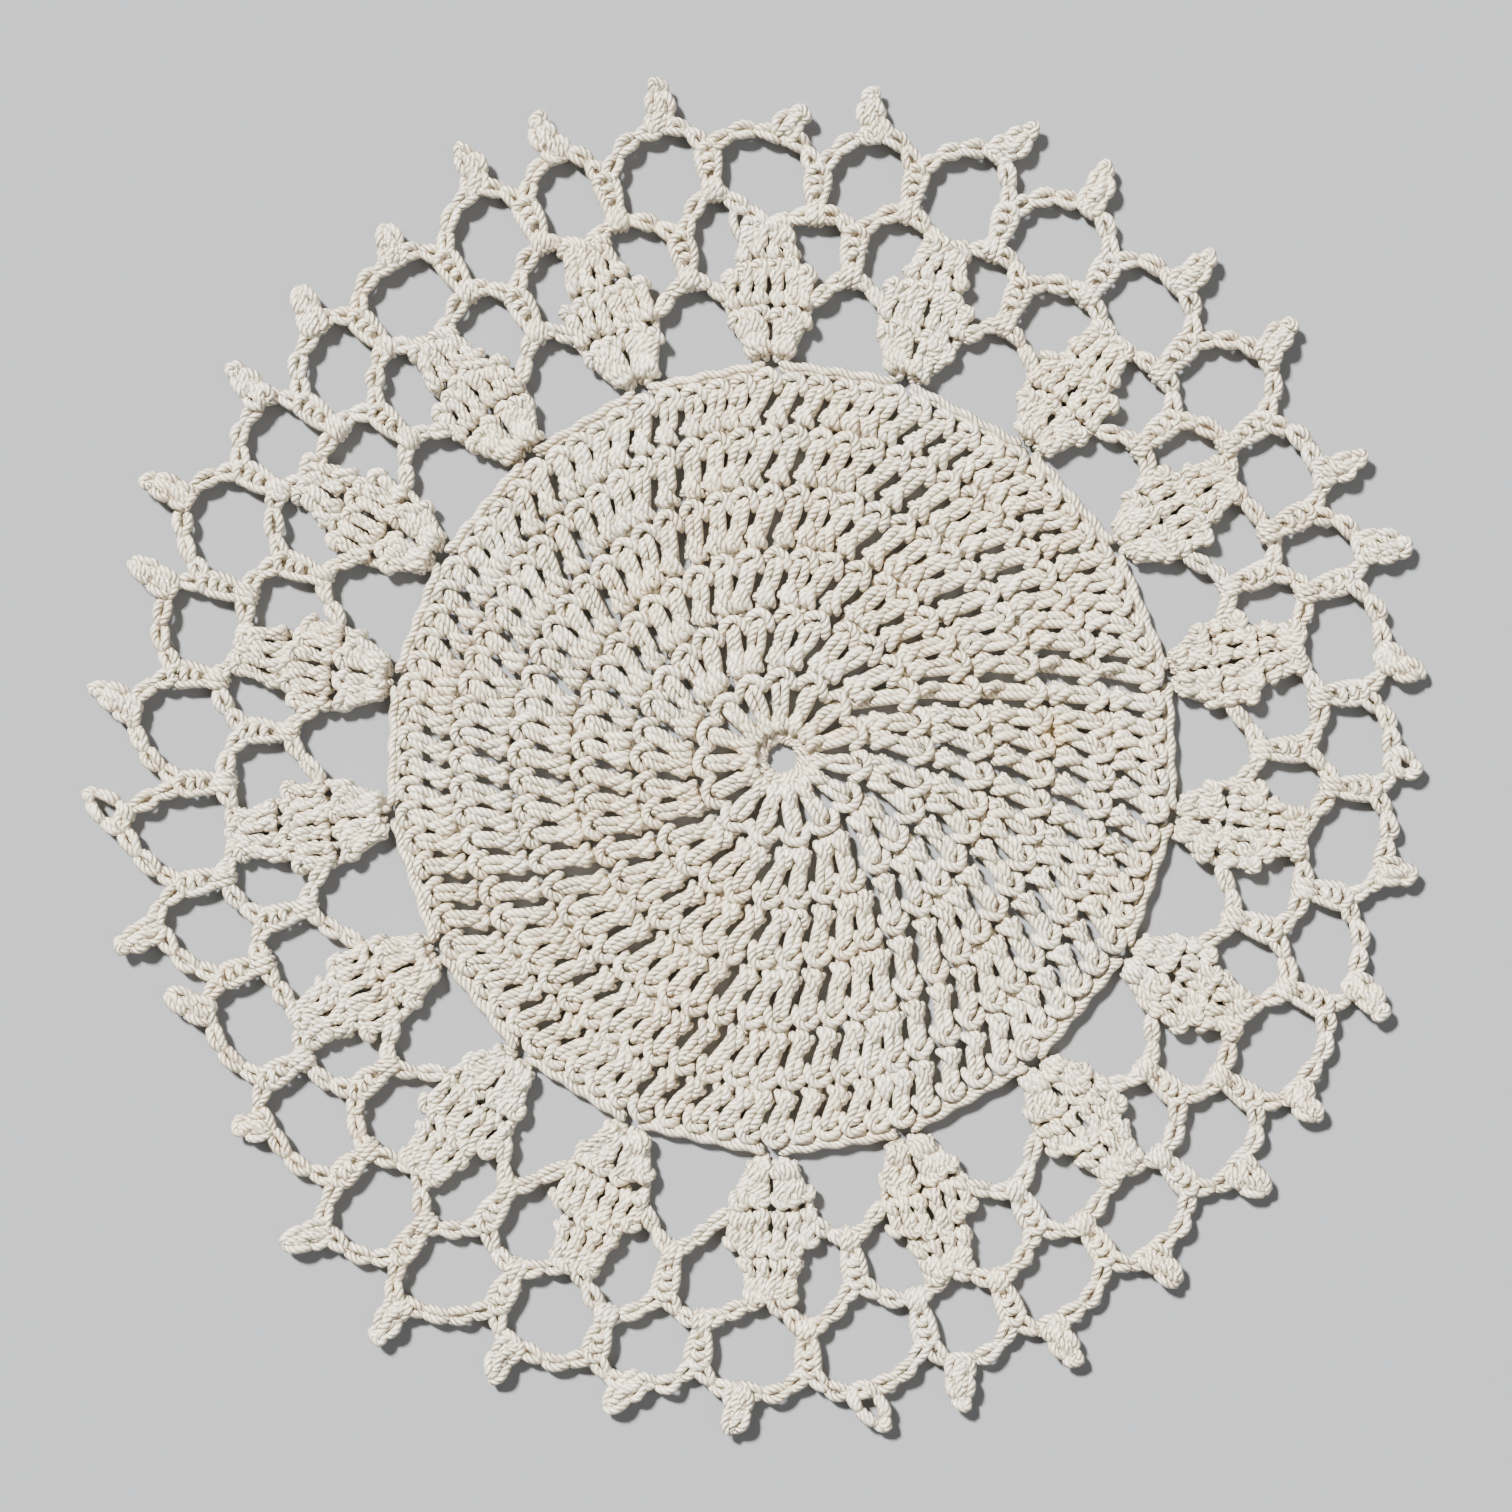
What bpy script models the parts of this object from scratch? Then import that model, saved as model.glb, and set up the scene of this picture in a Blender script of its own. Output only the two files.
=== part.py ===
"""A round crocheted doily, lying flat: a close disc of six rounds, a ring of eighteen fans, and two
rounds of chain arches with a picot on each outer arch.

The doily is one thread worked in one piece, so it is one solid. Every chain, post, fan and picot is
laid out as a flat shape, the shapes are joined in the plane, and the joined sheet is extruded. Its
upper face then rises from the rim of each strand to its middle.

Units are metres. Angles are in degrees, counted anticlockwise from +X as seen from above.
"""

import math
from collections import namedtuple

import bmesh
import bpy
from mathutils import Vector
from mathutils.geometry import delaunay_2d_cdt

MM = 0.001

# The ring that the work starts from. The lace reaches further on the left, so the ring is off centre.
RING_CENTRE = Vector((2.74 * MM, 0.0))
RING_HOLE = 1.4 * MM

# The disc: the radius at the top of each round, and the stitches added in every round.
ROUND_TOPS = [8.6 * MM, 14.8 * MM, 20.7 * MM, 26.9 * MM, 32.8 * MM, 38.5 * MM]
STITCHES_ADDED = 15
DISC_EDGE = 39.9 * MM

# Heights above the surface that the doily lies on.
RIM = 0.8 * MM
DISC_RIDGE = 2.0 * MM
DISC_SLIT = 1.1 * MM
FAN_RIDGE = 2.1 * MM
FAN_VALLEY = 1.6 * MM
CHAIN_RIDGE = 1.6 * MM
PICOT_RIDGE = 2.0 * MM

# Widths of the strands.
CHAIN_WIDTH = 1.95 * MM
SIDE_CHAIN_WIDTH = 1.6 * MM
POST_WIDTH = 2.6 * MM
POST_LENGTH = 4.2 * MM

# A fan from its foot to its top: the radius at each station, its width there, and whether a row of
# stitches ends there, which makes a ridge.
FanStation = namedtuple("FanStation", "radius width ridge")
FAN_STATIONS = [
    FanStation(39.4 * MM, 3.4 * MM, False),
    FanStation(42.2 * MM, 6.4 * MM, False),
    FanStation(45.2 * MM, 9.4 * MM, True),
    FanStation(47.4 * MM, 9.6 * MM, False),
    FanStation(50.0 * MM, 9.4 * MM, True),
    FanStation(52.4 * MM, 6.2 * MM, False),
    FanStation(54.6 * MM, 3.0 * MM, False),
]
FAN_SHOULDER = 4.2 * MM

# The small eye between the two groups of posts: the radius at its middle, its length and its width.
FAN_EYE_RADIUS = 44.4 * MM
FAN_EYE_LENGTH = 2.0 * MM
FAN_EYE_WIDTH = 1.2 * MM

# One row for each fan, clockwise from the left: the angle and radius of the fan's top, of the post on
# the inner arch before it and on the one after it, and of the join with the next fan. Then come the
# picots over the fan's top and over the join, each with the angle of its foot and the angle and
# radius of its tip. Radii are in millimetres from the ring.
Repeat = namedtuple(
    "Repeat", "fan top before before_r after after_r join join_r picot picot_tip picot_r "
    "join_picot join_picot_tip join_picot_r"
)
REPEATS = [
    Repeat(168.5, 55.2, 172, 56.8, 163, 55.8, 158.5, 53.5, 164.5, 163, 68.3, 156.5, 156.5, 70),
    Repeat(149.5, 55.4, 152, 56.8, 143.5, 55.2, 139.5, 53.1, 145.5, 144.5, 67.9, 137.5, 135.5, 67.8),
    Repeat(130, 54.4, 134, 56.8, 124, 56, 120, 53.1, 128, 126.5, 66.7, 118.5, 118, 69.5),
    Repeat(111, 55.2, 115, 56.6, 107, 56, 101, 52.7, 110, 111, 69.2, 101, 100.5, 69.1),
    Repeat(91.5, 53.8, 97, 57, 86.5, 54.3, 82, 52.7, 90, 87.5, 65, 81, 82.5, 67.7),
    Repeat(72, 53.9, 77, 55.8, 67.5, 54.8, 63, 52.7, 70.5, 68, 68.3, 61, 61.5, 68),
    Repeat(51.5, 53.6, 56.5, 55.2, 45.5, 53.9, 41, 51.5, 50, 49.5, 66.6, 39.5, 40.5, 67.6),
    Repeat(32, 52.9, 35, 54.4, 25, 53.5, 21, 51.9, 28, 27.5, 65.8, 20, 18.5, 66.4),
    Repeat(12, 52.7, 17.5, 54.8, 6.5, 53.9, 1, 51.9, 10, 7, 64.8, 0, -1.5, 63.9),
    Repeat(-8.5, 52.7, -3, 54.8, -14, 53.5, -19.5, 51.9, -10.5, -10.5, 64.6, -21.5, -23.5, 65.8),
    Repeat(-29.5, 52.7, -24.5, 55.2, -36, 53.9, -40.5, 51.9, -32.5, -34, 65, -42, -42, 65.4),
    Repeat(-50.5, 53.5, -46.5, 54.8, -57, 55.2, -61.5, 53.1, -53.5, -53, 66.2, -64.5, -64, 67.6),
    Repeat(-72, 54.3, -67.5, 56.2, -76, 55.6, -82, 52.6, -73.5, -74.5, 67.8, -83, -81, 68.1),
    Repeat(-91.5, 54.3, -87.5, 57, -98, 56.6, -102.5, 54.6, -94, -94.5, 68, -103, -105.5, 67.5),
    Repeat(-112.5, 55.2, -107.5, 58.2, -117.5, 57.4, -122.5, 55, -114.5, -115, 69.1, -125, -125, 71.4),
    Repeat(-131.5, 55.2, -127.5, 58.4, -136.5, 56.8, -142, 53.9, -134, -136, 70, -144.5, -146.5, 66.2),
    Repeat(-151, 55.2, -148, 56.4, -158.5, 55.6, -162.5, 53.9, -156, -159.5, 66, -165, -164, 69.5),
    Repeat(-172, 55.2, -168, 56.8, -177.5, 55.6, -183, 53.5, -174.5, -177.5, 69.8, -184, -186, 69.6),
]

# A picot is a leaf of thread: its length along its own axis, and its width from foot to tip.
PICOT_LENGTH = 5.2 * MM
PICOT_LEAST_RISE = 2.2 * MM
PICOT_WIDTHS = [1.8 * MM, 3.2 * MM, 3.1 * MM, 2.3 * MM, 1.3 * MM]

THREAD_COLOUR = (0.80, 0.76, 0.69, 1.0)
SHARP_ANGLE = math.radians(50)

# Corners nearer than this are one corner.
SAME_PLACE = 0.01 * MM


def clear_scene():
    """Starts from an empty scene."""
    for obj in list(bpy.data.objects):
        bpy.data.objects.remove(obj)


def polar(degrees, radius):
    """A point of the plane, from its angle and its distance from the ring."""
    turn = math.radians(degrees)
    return RING_CENTRE + Vector((math.cos(turn), math.sin(turn))) * radius


def smooth_line(points, steps):
    """A Catmull-Rom line through the points, with so many steps between two of them."""
    ends = [points[0] * 2 - points[1], *points, points[-1] * 2 - points[-2]]
    line = [points[0]]
    for a, b, c, d in zip(ends, ends[1:], ends[2:], ends[3:]):
        for step in range(1, steps + 1):
            t = step / steps
            bend = (2 * a - 5 * b + 4 * c - d) * t**2
            twist = (3 * b - a - 3 * c + d) * t**3
            line.append(0.5 * (2 * b + (c - a) * t + bend + twist))
    return line


class FlatSheet:
    """The shapes that make up the doily, all in the plane, with the height of each point inside them."""

    def __init__(self):
        self.points = []
        self.edges = []
        self.faces = []
        self.holes = set()
        self.heights = {}

    def add_points(self, points, height=None):
        first = len(self.points)
        self.points += points
        numbers = list(range(first, len(self.points)))
        if height is not None:
            self.heights.update({number: height for number in numbers})
        return numbers

    def add_outline(self, points):
        """A closed shape. Its edge is a rim wherever no other shape covers it."""
        self.faces.append(self.add_points(points))

    def add_hole(self, points):
        """A closed shape that is cut out of the others."""
        self.holes.add(len(self.faces))
        self.add_outline(points)

    def add_ridge(self, points, height, closed=False):
        """A line along the upper face, at its own height."""
        numbers = self.add_points(points, height)
        self.edges += list(zip(numbers, numbers[1:]))
        if closed:
            self.edges.append((numbers[-1], numbers[0]))
        return numbers

    def add_ribbon(self, line, widths, ridge):
        """A strand along a line. It has a width at each point, and its middle is a ridge."""
        left, right = [], []
        for number, point in enumerate(line):
            ahead = line[min(number + 1, len(line) - 1)] - line[max(number - 1, 0)]
            side = Vector((-ahead.y, ahead.x)).normalized() * widths[number] / 2
            left.append(point + side)
            right.append(point - side)
        self.add_outline(right + left[::-1])
        self.add_ridge(line[1:-1:2], ridge)


def circle(radius, count, turned=0.0):
    """Points round the ring, turned by a share of one step."""
    return [polar((number + turned) * 360 / count, radius) for number in range(count)]


def add_disc(sheet):
    """Six rounds of posts. A post is a ridge from its stitch below to its own top, with slits beside it."""
    sheet.add_outline(circle(DISC_EDGE, STITCHES_ADDED * len(ROUND_TOPS)))
    sheet.add_hole(circle(RING_HOLE, STITCHES_ADDED))
    below = RING_HOLE
    stitches_below = []
    for number, top in enumerate(ROUND_TOPS):
        count = STITCHES_ADDED * (number + 1)
        sheet.add_points(circle((below + top) / 2, count, turned=0.5), DISC_SLIT)
        stitches = sheet.add_ridge(circle(top, count), DISC_RIDGE, closed=True)
        for stitch, worked in enumerate(stitches):
            if stitches_below:
                base = stitches_below[stitch * len(stitches_below) // count]
                sheet.edges.append((worked, base))
        below = top
        stitches_below = stitches


def fan_point(repeat, side, radius):
    """A point of a fan: side is the distance from its middle line, to the left as it points outwards."""
    return polar(repeat.fan + math.degrees(side / radius), radius)


def add_fan(sheet, repeat):
    """Two groups of posts from one stitch, a wider row on them, and a row drawn together at the top."""
    stretch = repeat.top * MM / FAN_STATIONS[-1].radius
    left, right = [], []
    for station in FAN_STATIONS:
        radius = station.radius * stretch if station.radius > DISC_EDGE else station.radius
        left.append(fan_point(repeat, station.width / 2, radius))
        right.append(fan_point(repeat, -station.width / 2, radius))
        shares = (-0.36, 0, 0.36) if station.ridge else (-0.15, 0.15)
        across = [fan_point(repeat, station.width * share, radius) for share in shares]
        if station not in (FAN_STATIONS[0], FAN_STATIONS[-1]):
            sheet.add_ridge(across, FAN_RIDGE if station.ridge else FAN_VALLEY)
    sheet.add_outline(right + left[::-1])
    eye = [(0.0, -0.5), (0.5, 0.1), (0.0, 0.5), (-0.5, 0.1)]
    sheet.add_hole(
        [fan_point(repeat, -a * FAN_EYE_WIDTH, FAN_EYE_RADIUS + r * FAN_EYE_LENGTH) for a, r in eye]
    )


def join_foot(repeat):
    """Where the side chains of two fans meet, under the join."""
    return polar(repeat.join, repeat.join_r * MM - POST_LENGTH)


def add_side_chains(sheet, repeat, following):
    """The chains that tie a fan to the next one, meeting under the join."""
    meet = join_foot(repeat)
    start = fan_point(repeat, -FAN_SHOULDER, 45.6 * MM)
    end = fan_point(following, FAN_SHOULDER, 46.4 * MM)
    for shoulder in (start, end):
        middle = shoulder.lerp(meet, 0.55)
        outward = (middle - RING_CENTRE).normalized()
        line = [shoulder, middle + outward * 0.5 * MM, meet]
        sheet.add_ribbon(line, [SIDE_CHAIN_WIDTH] * 3, CHAIN_RIDGE)


def add_post(sheet, foot, head):
    """A tall stitch that carries the ends of two arches."""
    line = [foot, foot.lerp(head, 0.4), head]
    sheet.add_ribbon(line, [POST_WIDTH * 0.9, POST_WIDTH * 0.8, POST_WIDTH], CHAIN_RIDGE)


def unturned(degrees, near):
    """The same direction, counted so that it is within half a turn of another one."""
    return degrees + 360 * round((near - degrees) / 360)


def along(start, end, share, rise):
    """The angle and radius at a share of the way between two, lifted by rise."""
    end_angle = unturned(end[0], start[0])
    return start[0] + (end_angle - start[0]) * share, start[1] + (end[1] - start[1]) * share + rise


def add_inner_arches(sheet, repeat, previous):
    """The two arches that meet on a fan's top. Each one carries a post."""
    top = (repeat.fan, repeat.top - 0.8)
    ends = [
        ((previous.join, previous.join_r), (repeat.before, repeat.before_r)),
        ((repeat.join, repeat.join_r), (repeat.after, repeat.after_r)),
    ]
    for join, peak in ends:
        shoulder = along(peak, join, 0.52, 0.7)
        crown = along(peak, top, 0.5, 0.1)
        line = [polar(angle, radius * MM) for angle, radius in (top, crown, peak, shoulder, join)]
        sheet.add_ribbon(line, [CHAIN_WIDTH] * len(line), CHAIN_RIDGE)


def picot_foot(start, end, angle, tip_angle, tip_radius):
    """The radius of an outer arch where its picot stands, from the picot's tip and its lean."""
    lean = math.radians(tip_angle - angle) * tip_radius
    rise = math.sqrt(max(PICOT_LENGTH**2 - lean**2, PICOT_LEAST_RISE**2))
    crown = (start[1] + end[1]) / 2 + 2.2
    return max(crown, (tip_radius - rise) / MM)


def add_outer_arch(sheet, start, end, picot):
    """An arch between the heads of two posts, with its picot."""
    angle, tip_angle, tip_radius = picot
    foot = (angle, picot_foot(start, end, angle, tip_angle, tip_radius * MM))
    stops = [
        start,
        along(start, foot, 0.45, 1.2),
        foot,
        along(foot, end, 0.55, 1.0),
        (unturned(end[0], start[0]), end[1]),
    ]
    line = smooth_line([polar(a, radius * MM) for a, radius in stops], 2)
    line = [line[0], *line[2:-2], line[-1]]
    sheet.add_ribbon(line, [CHAIN_WIDTH] * len(line), CHAIN_RIDGE)
    low = polar(angle, foot[1] * MM)
    tip = polar(tip_angle, tip_radius * MM)
    bulge = polar(angle, foot[1] * MM + PICOT_LENGTH * 0.45)
    leaf = smooth_line([low, bulge.lerp(low.lerp(tip, 0.45), 0.5), tip], 2)
    sheet.add_ribbon(leaf, PICOT_WIDTHS, PICOT_RIDGE)


def post_head(angle, foot_radius):
    """The angle and radius at the head of a post on an inner arch."""
    return angle, foot_radius + POST_LENGTH / MM


def add_lace(sheet):
    """The fans and the two rounds of arches, one repeat after another."""
    for number, repeat in enumerate(REPEATS):
        previous = REPEATS[number - 1]
        following = REPEATS[(number + 1) % len(REPEATS)]
        add_fan(sheet, repeat)
        add_side_chains(sheet, repeat, following)
        add_post(sheet, join_foot(repeat), polar(repeat.join, repeat.join_r * MM + 0.6 * MM))
        add_inner_arches(sheet, repeat, previous)
        heads = [
            post_head(repeat.before, repeat.before_r),
            post_head(repeat.after, repeat.after_r),
            post_head(following.before, following.before_r),
        ]
        for angle, radius in heads[:2]:
            foot = radius * MM - POST_LENGTH
            add_post(sheet, polar(angle, foot), polar(angle, radius * MM + 0.6 * MM))
        add_outer_arch(sheet, heads[0], heads[1], (repeat.picot, repeat.picot_tip, repeat.picot_r))
        join_picot = (repeat.join_picot, repeat.join_picot_tip, repeat.join_picot_r)
        add_outer_arch(sheet, heads[1], heads[2], join_picot)


def joined_faces(sheet):
    """The union of all the shapes in the plane, less the holes, as triangles."""
    points, _, faces, came_from, _, shapes = delaunay_2d_cdt(
        sheet.points, sheet.edges, sheet.faces, 0, SAME_PLACE
    )
    kept = [face for face, inside in zip(faces, shapes) if inside and not sheet.holes & set(inside)]
    return points, kept, came_from


def upper_heights(work, given):
    """The height of the upper face at each corner: a rim, a ridge, or what lies between its neighbours."""
    heights = {}
    for corner in work.verts:
        if corner.is_boundary:
            heights[corner] = RIM
        elif corner in given:
            heights[corner] = given[corner]
    for corner in work.verts:
        if corner not in heights:
            around = [edge.other_vert(corner) for edge in corner.link_edges]
            known = [heights[other] for other in around if other in heights and not other.is_boundary]
            heights[corner] = sum(known) / len(known) if known else CHAIN_RIDGE
    return heights


def doily_mesh():
    """Joins the shapes, raises the upper face, and closes the sheet with a flat underside."""
    sheet = FlatSheet()
    add_disc(sheet)
    add_lace(sheet)
    points, faces, came_from = joined_faces(sheet)
    work = bmesh.new()
    corners = [work.verts.new((point.x, point.y, 0.0)) for point in points]
    for face in faces:
        work.faces.new([corners[number] for number in face])
    given = {}
    for corner, sources in zip(corners, came_from):
        ridges = [sheet.heights[number] for number in sources if number in sheet.heights]
        if ridges:
            given[corner] = max(ridges)
    bmesh.ops.delete(work, geom=[corner for corner in corners if not corner.link_faces], context="VERTS")
    for corner, height in upper_heights(work, given).items():
        corner.co.z = height
    raised = bmesh.ops.extrude_face_region(work, geom=work.faces[:])["geom"]
    for corner in set(work.verts) - set(raised):
        corner.co.z = 0.0
    bmesh.ops.recalc_face_normals(work, faces=work.faces)
    mesh = bpy.data.meshes.new("doily")
    work.to_mesh(mesh)
    work.free()
    mesh.shade_smooth()
    mesh.set_sharp_from_angle(angle=SHARP_ANGLE)
    return mesh


def thread_material():
    """Mercerised cotton: ivory, with a soft gloss."""
    material = bpy.data.materials.new("cotton_thread")
    material.use_nodes = True
    shader = material.node_tree.nodes["Principled BSDF"]
    shader.inputs["Base Color"].default_value = THREAD_COLOUR
    shader.inputs["Roughness"].default_value = 0.6
    shader.inputs["Metallic"].default_value = 0.0
    return material


def main():
    clear_scene()
    doily = bpy.data.objects.new("doily", doily_mesh())
    doily.data.materials.append(thread_material())
    bpy.context.collection.objects.link(doily)


main()
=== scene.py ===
# %% [markdown]
# A crocheted doily. One cotton thread makes all of it: a close disc of tall stitches, a ring of
# eighteen fans, and two rounds of chain arches, the outer ones with a picot each. The CAD solid is
# the frame: it gives the places, and every stitch laid here follows them.

import math
from collections import namedtuple

import bmesh
import bpy
import numpy as np
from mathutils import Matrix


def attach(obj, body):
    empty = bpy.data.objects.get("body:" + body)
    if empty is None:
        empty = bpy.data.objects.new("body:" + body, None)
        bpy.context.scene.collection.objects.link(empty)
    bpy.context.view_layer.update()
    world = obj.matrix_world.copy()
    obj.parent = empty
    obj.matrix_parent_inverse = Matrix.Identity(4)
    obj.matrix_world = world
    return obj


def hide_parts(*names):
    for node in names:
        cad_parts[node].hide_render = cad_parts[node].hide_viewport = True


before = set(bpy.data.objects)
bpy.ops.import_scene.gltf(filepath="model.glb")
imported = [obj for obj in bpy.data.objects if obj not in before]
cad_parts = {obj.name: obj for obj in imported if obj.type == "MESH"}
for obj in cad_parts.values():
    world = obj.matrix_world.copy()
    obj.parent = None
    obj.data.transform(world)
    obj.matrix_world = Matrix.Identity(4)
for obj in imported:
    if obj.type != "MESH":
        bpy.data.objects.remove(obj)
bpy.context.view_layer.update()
MM = 0.001

# %% [markdown]
# The lace is handmade, so no two repeats are alike. The list of repeats is the same one that the
# solid is built from: angles in degrees and radii in millimetres, from the ring where the work
# starts. That keeps each strand inside the solid it stands for.

# %% The measures of the work
RING_CENTRE = np.array([2.74, 0.0])
RING_HOLE = 1.4
ROUND_TOPS = [8.6, 14.8, 20.7, 26.9, 32.8, 38.5]
STITCHES_ADDED = 15
DISC_EDGE = 39.9
POST_LENGTH = 4.2
FAN_SHOULDER = 4.2

Repeat = namedtuple(
    "Repeat", "fan top before before_r after after_r join join_r picot picot_tip picot_r "
    "join_picot join_picot_tip join_picot_r"
)
REPEATS = [
    Repeat(168.5, 55.2, 172, 56.8, 163, 55.8, 158.5, 53.5, 164.5, 163, 68.3, 156.5, 156.5, 70),
    Repeat(149.5, 55.4, 152, 56.8, 143.5, 55.2, 139.5, 53.1, 145.5, 144.5, 67.9, 137.5, 135.5, 67.8),
    Repeat(130, 54.4, 134, 56.8, 124, 56, 120, 53.1, 128, 126.5, 66.7, 118.5, 118, 69.5),
    Repeat(111, 55.2, 115, 56.6, 107, 56, 101, 52.7, 110, 111, 69.2, 101, 100.5, 69.1),
    Repeat(91.5, 53.8, 97, 57, 86.5, 54.3, 82, 52.7, 90, 87.5, 65, 81, 82.5, 67.7),
    Repeat(72, 53.9, 77, 55.8, 67.5, 54.8, 63, 52.7, 70.5, 68, 68.3, 61, 61.5, 68),
    Repeat(51.5, 53.6, 56.5, 55.2, 45.5, 53.9, 41, 51.5, 50, 49.5, 66.6, 39.5, 40.5, 67.6),
    Repeat(32, 52.9, 35, 54.4, 25, 53.5, 21, 51.9, 28, 27.5, 65.8, 20, 18.5, 66.4),
    Repeat(12, 52.7, 17.5, 54.8, 6.5, 53.9, 1, 51.9, 10, 7, 64.8, 0, -1.5, 63.9),
    Repeat(-8.5, 52.7, -3, 54.8, -14, 53.5, -19.5, 51.9, -10.5, -10.5, 64.6, -21.5, -23.5, 65.8),
    Repeat(-29.5, 52.7, -24.5, 55.2, -36, 53.9, -40.5, 51.9, -32.5, -34, 65, -42, -42, 65.4),
    Repeat(-50.5, 53.5, -46.5, 54.8, -57, 55.2, -61.5, 53.1, -53.5, -53, 66.2, -64.5, -64, 67.6),
    Repeat(-72, 54.3, -67.5, 56.2, -76, 55.6, -82, 52.6, -73.5, -74.5, 67.8, -83, -81, 68.1),
    Repeat(-91.5, 54.3, -87.5, 57, -98, 56.6, -102.5, 54.6, -94, -94.5, 68, -103, -105.5, 67.5),
    Repeat(-112.5, 55.2, -107.5, 58.2, -117.5, 57.4, -122.5, 55, -114.5, -115, 69.1, -125, -125, 71.4),
    Repeat(-131.5, 55.2, -127.5, 58.4, -136.5, 56.8, -142, 53.9, -134, -136, 70, -144.5, -146.5, 66.2),
    Repeat(-151, 55.2, -148, 56.4, -158.5, 55.6, -162.5, 53.9, -156, -159.5, 66, -165, -164, 69.5),
    Repeat(-172, 55.2, -168, 56.8, -177.5, 55.6, -183, 53.5, -174.5, -177.5, 69.8, -184, -186, 69.6),
]
print(len(REPEATS), "repeats of the lace")

# %% [markdown]
# Every piece is laid from the same thread, which is 0.9 mm thick. A strand is a smooth line
# through a few points, cut into even steps, because even rings keep the twist of the thread even.
# The widths at the two ends go down to a blunt tip, so no cut end stands out.

# %% A strand of thread
THREAD = 0.9
STEP = 0.36
END_WIDTHS = [0.35, 0.8]
CURVE_PARTS = 8
LEAST_RINGS = 5
Strand = namedtuple("Strand", "line widths shade")
chance = np.random.default_rng(18)


def smooth_line(points, step=STEP):
    """A Catmull-Rom line through the points, in even steps."""
    points = np.asarray(points, float)
    ends = np.vstack([2 * points[0] - points[1], points, 2 * points[-1] - points[-2]])
    a, b, c, d = ends[:-3, None], ends[1:-2, None], ends[2:-1, None], ends[3:, None]
    t = np.linspace(0, 1, CURVE_PARTS, endpoint=False)[:, None]
    bend = (2 * a - 5 * b + 4 * c - d) * t**2
    twist = (3 * b - a - 3 * c + d) * t**3
    fine = 0.5 * (2 * b + (c - a) * t + bend + twist)
    fine = np.vstack([fine.reshape(-1, points.shape[1]), points[-1]])
    length = np.append(0, np.cumsum(np.linalg.norm(np.diff(fine, axis=0), axis=1)))
    even = np.linspace(0, length[-1], max(LEAST_RINGS, round(length[-1] / step) + 1))
    return np.column_stack([np.interp(even, length, column) for column in fine.T])


def lay(strands, points, thickness=1.0):
    """Adds one strand through the points, in millimetres, to a list of strands."""
    line = smooth_line(points)
    widths = np.full(len(line), thickness)
    widths[:2] = np.multiply(END_WIDTHS, thickness)
    widths[-2:] = widths[:2][::-1]
    strands.append(Strand(line, widths, chance.uniform(-1, 1)))


# %% [markdown]
# The strands of a piece are one curve object with a round bevel, turned into a mesh. The bevel
# makes the rings in order, so the mesh can be told, ring by ring, how far along its strand it is
# and on which side of it. The thread's material needs both to wind the three plies round it. Each
# strand starts at its own place in the twist, so that neighbours don't match.

# %% From strands to a mesh
BEVEL_RESOLUTION = 1
TWIST_OFFSET = 40


def closed_ends(mesh):
    """Fills the open end of every strand."""
    work = bmesh.new()
    work.from_mesh(mesh)
    rims = [edge for edge in work.edges if edge.is_boundary]
    caps = bmesh.ops.holes_fill(work, edges=rims, sides=0)["faces"]
    bmesh.ops.triangulate(work, faces=caps)
    work.to_mesh(mesh)
    work.free()


def mark_thread(mesh, strands):
    """Stores the place along and around the strand, and the strand's own shade, at each corner."""
    rings = sum(len(strand.line) for strand in strands)
    sides = len(mesh.vertices) // rings
    travelled = []
    shades = []
    for strand in strands:
        steps = np.linalg.norm(np.diff(strand.line, axis=0), axis=1)
        travelled.append(np.append(0, np.cumsum(steps)) + TWIST_OFFSET * abs(strand.shade))
        shades.append(np.full(len(strand.line), strand.shade))
    turn = np.tile(np.arange(sides) * 2 * math.pi / sides, rings)
    around = np.column_stack([np.cos(turn), np.sin(turn), np.zeros(len(turn))])
    along = mesh.attributes.new("along", "FLOAT", "POINT")
    along.data.foreach_set("value", np.repeat(np.concatenate(travelled), sides).astype(np.float32))
    shade = mesh.attributes.new("shade", "FLOAT", "POINT")
    shade.data.foreach_set("value", np.repeat(np.concatenate(shades), sides).astype(np.float32))
    side = mesh.attributes.new("around", "FLOAT_VECTOR", "POINT")
    side.data.foreach_set("vector", around.astype(np.float32).ravel())


def thread_piece(name, strands):
    """One object that holds all of these strands, in metres."""
    curve = bpy.data.curves.new(name, "CURVE")
    curve.dimensions = "3D"
    curve.bevel_depth = THREAD / 2 * MM
    curve.bevel_resolution = BEVEL_RESOLUTION
    for strand in strands:
        spline = curve.splines.new("POLY")
        spline.points.add(len(strand.line) - 1)
        places = np.column_stack([strand.line * MM, np.ones(len(strand.line))])
        spline.points.foreach_set("co", places.astype(np.float32).ravel())
        spline.points.foreach_set("radius", strand.widths.astype(np.float32))
    former = bpy.data.objects.new(name + "_strands", curve)
    bpy.context.collection.objects.link(former)
    mesh = bpy.data.meshes.new_from_object(
        former.evaluated_get(bpy.context.evaluated_depsgraph_get())
    )
    bpy.data.objects.remove(former)
    mesh.name = name
    closed_ends(mesh)
    mark_thread(mesh, strands)
    mesh.shade_smooth()
    piece = bpy.data.objects.new(name, mesh)
    bpy.context.collection.objects.link(piece)
    mesh.calc_loop_triangles()
    metres = sum(np.linalg.norm(np.diff(s.line, axis=0), axis=1).sum() for s in strands) * MM
    print(name, len(strands), "strands,", round(metres, 1), "m,", len(mesh.loop_triangles), "triangles")
    return piece


# %% [markdown]
# A stitch is described once, in its own little frame, and then set down hundreds of times. In that
# frame u runs across the stitch in widths, v from its base to its top, and w is the height above
# the table in millimetres. Each setting-down moves every point a little, as a hand would.

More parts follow.
